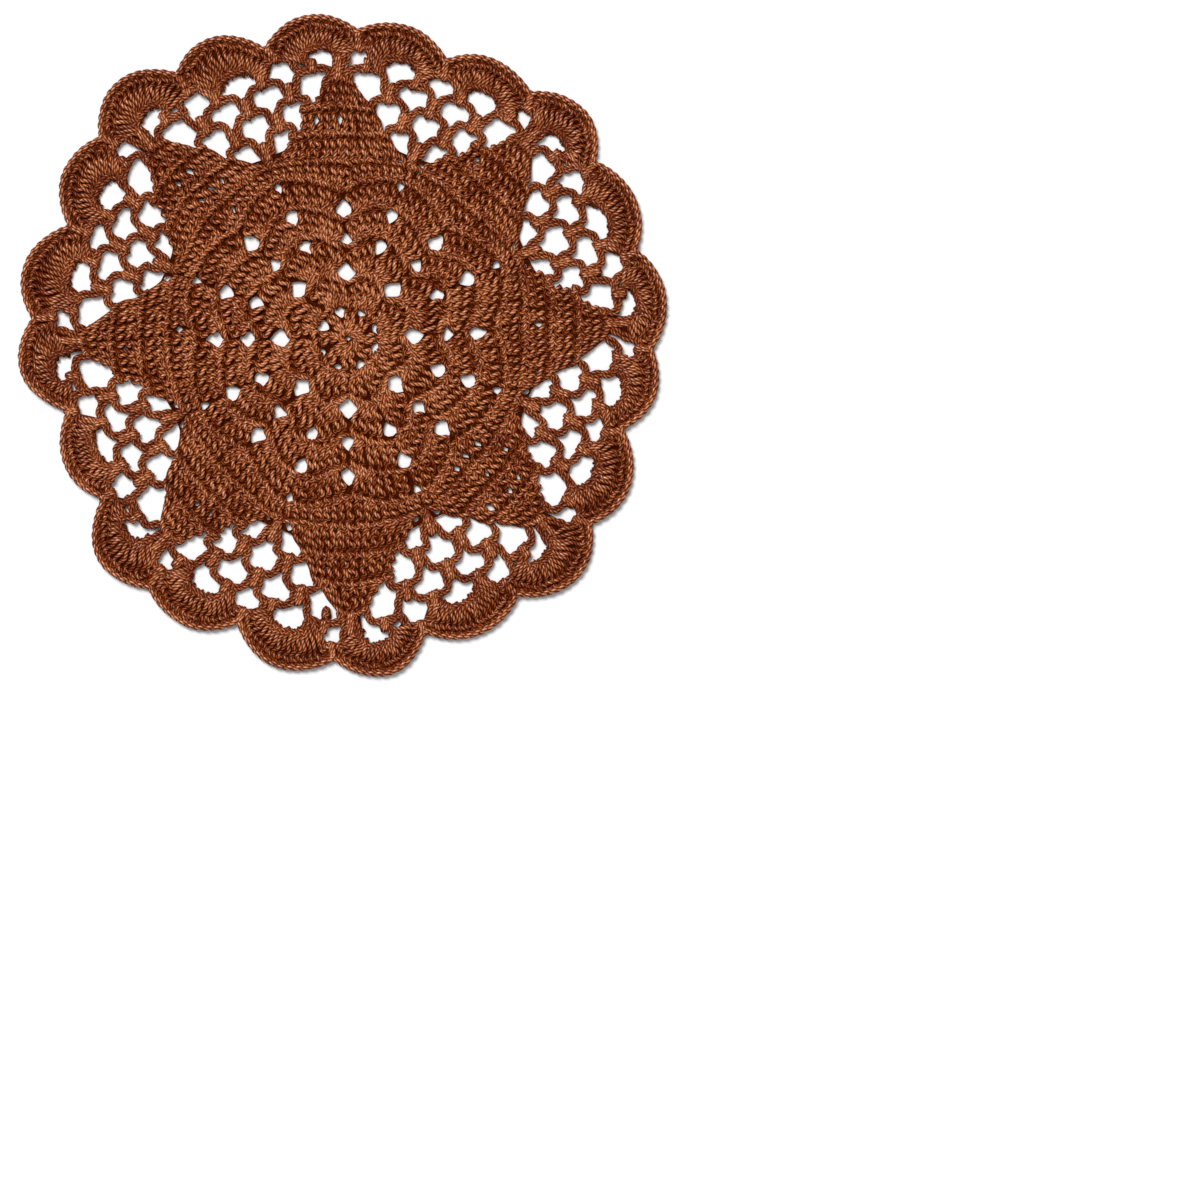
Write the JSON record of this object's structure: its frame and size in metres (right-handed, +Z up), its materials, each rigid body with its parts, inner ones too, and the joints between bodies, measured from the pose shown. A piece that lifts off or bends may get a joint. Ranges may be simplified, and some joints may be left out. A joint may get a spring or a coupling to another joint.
{
  "type": "lace doily",
  "caption": "Flat round crocheted lace doily with solid petals, chain-loop net between them and a scalloped shell edging, in rust-brown yarn.",
  "frame": {"origin": "middle of the doily's bounding box, on the surface it lies on", "axes": "+Z up, out of the right side; +Y towards the edge that is uppermost in the picture; +X to its right"},
  "size_m": [0.2498, 0.255, 0.0027],
  "materials": {
    "yarn": "soft, slightly lustrous plied yarn, rust brown"
  },
  "bodies": {
    "root": {"doily": "yarn"}
  },
  "joints": []
}
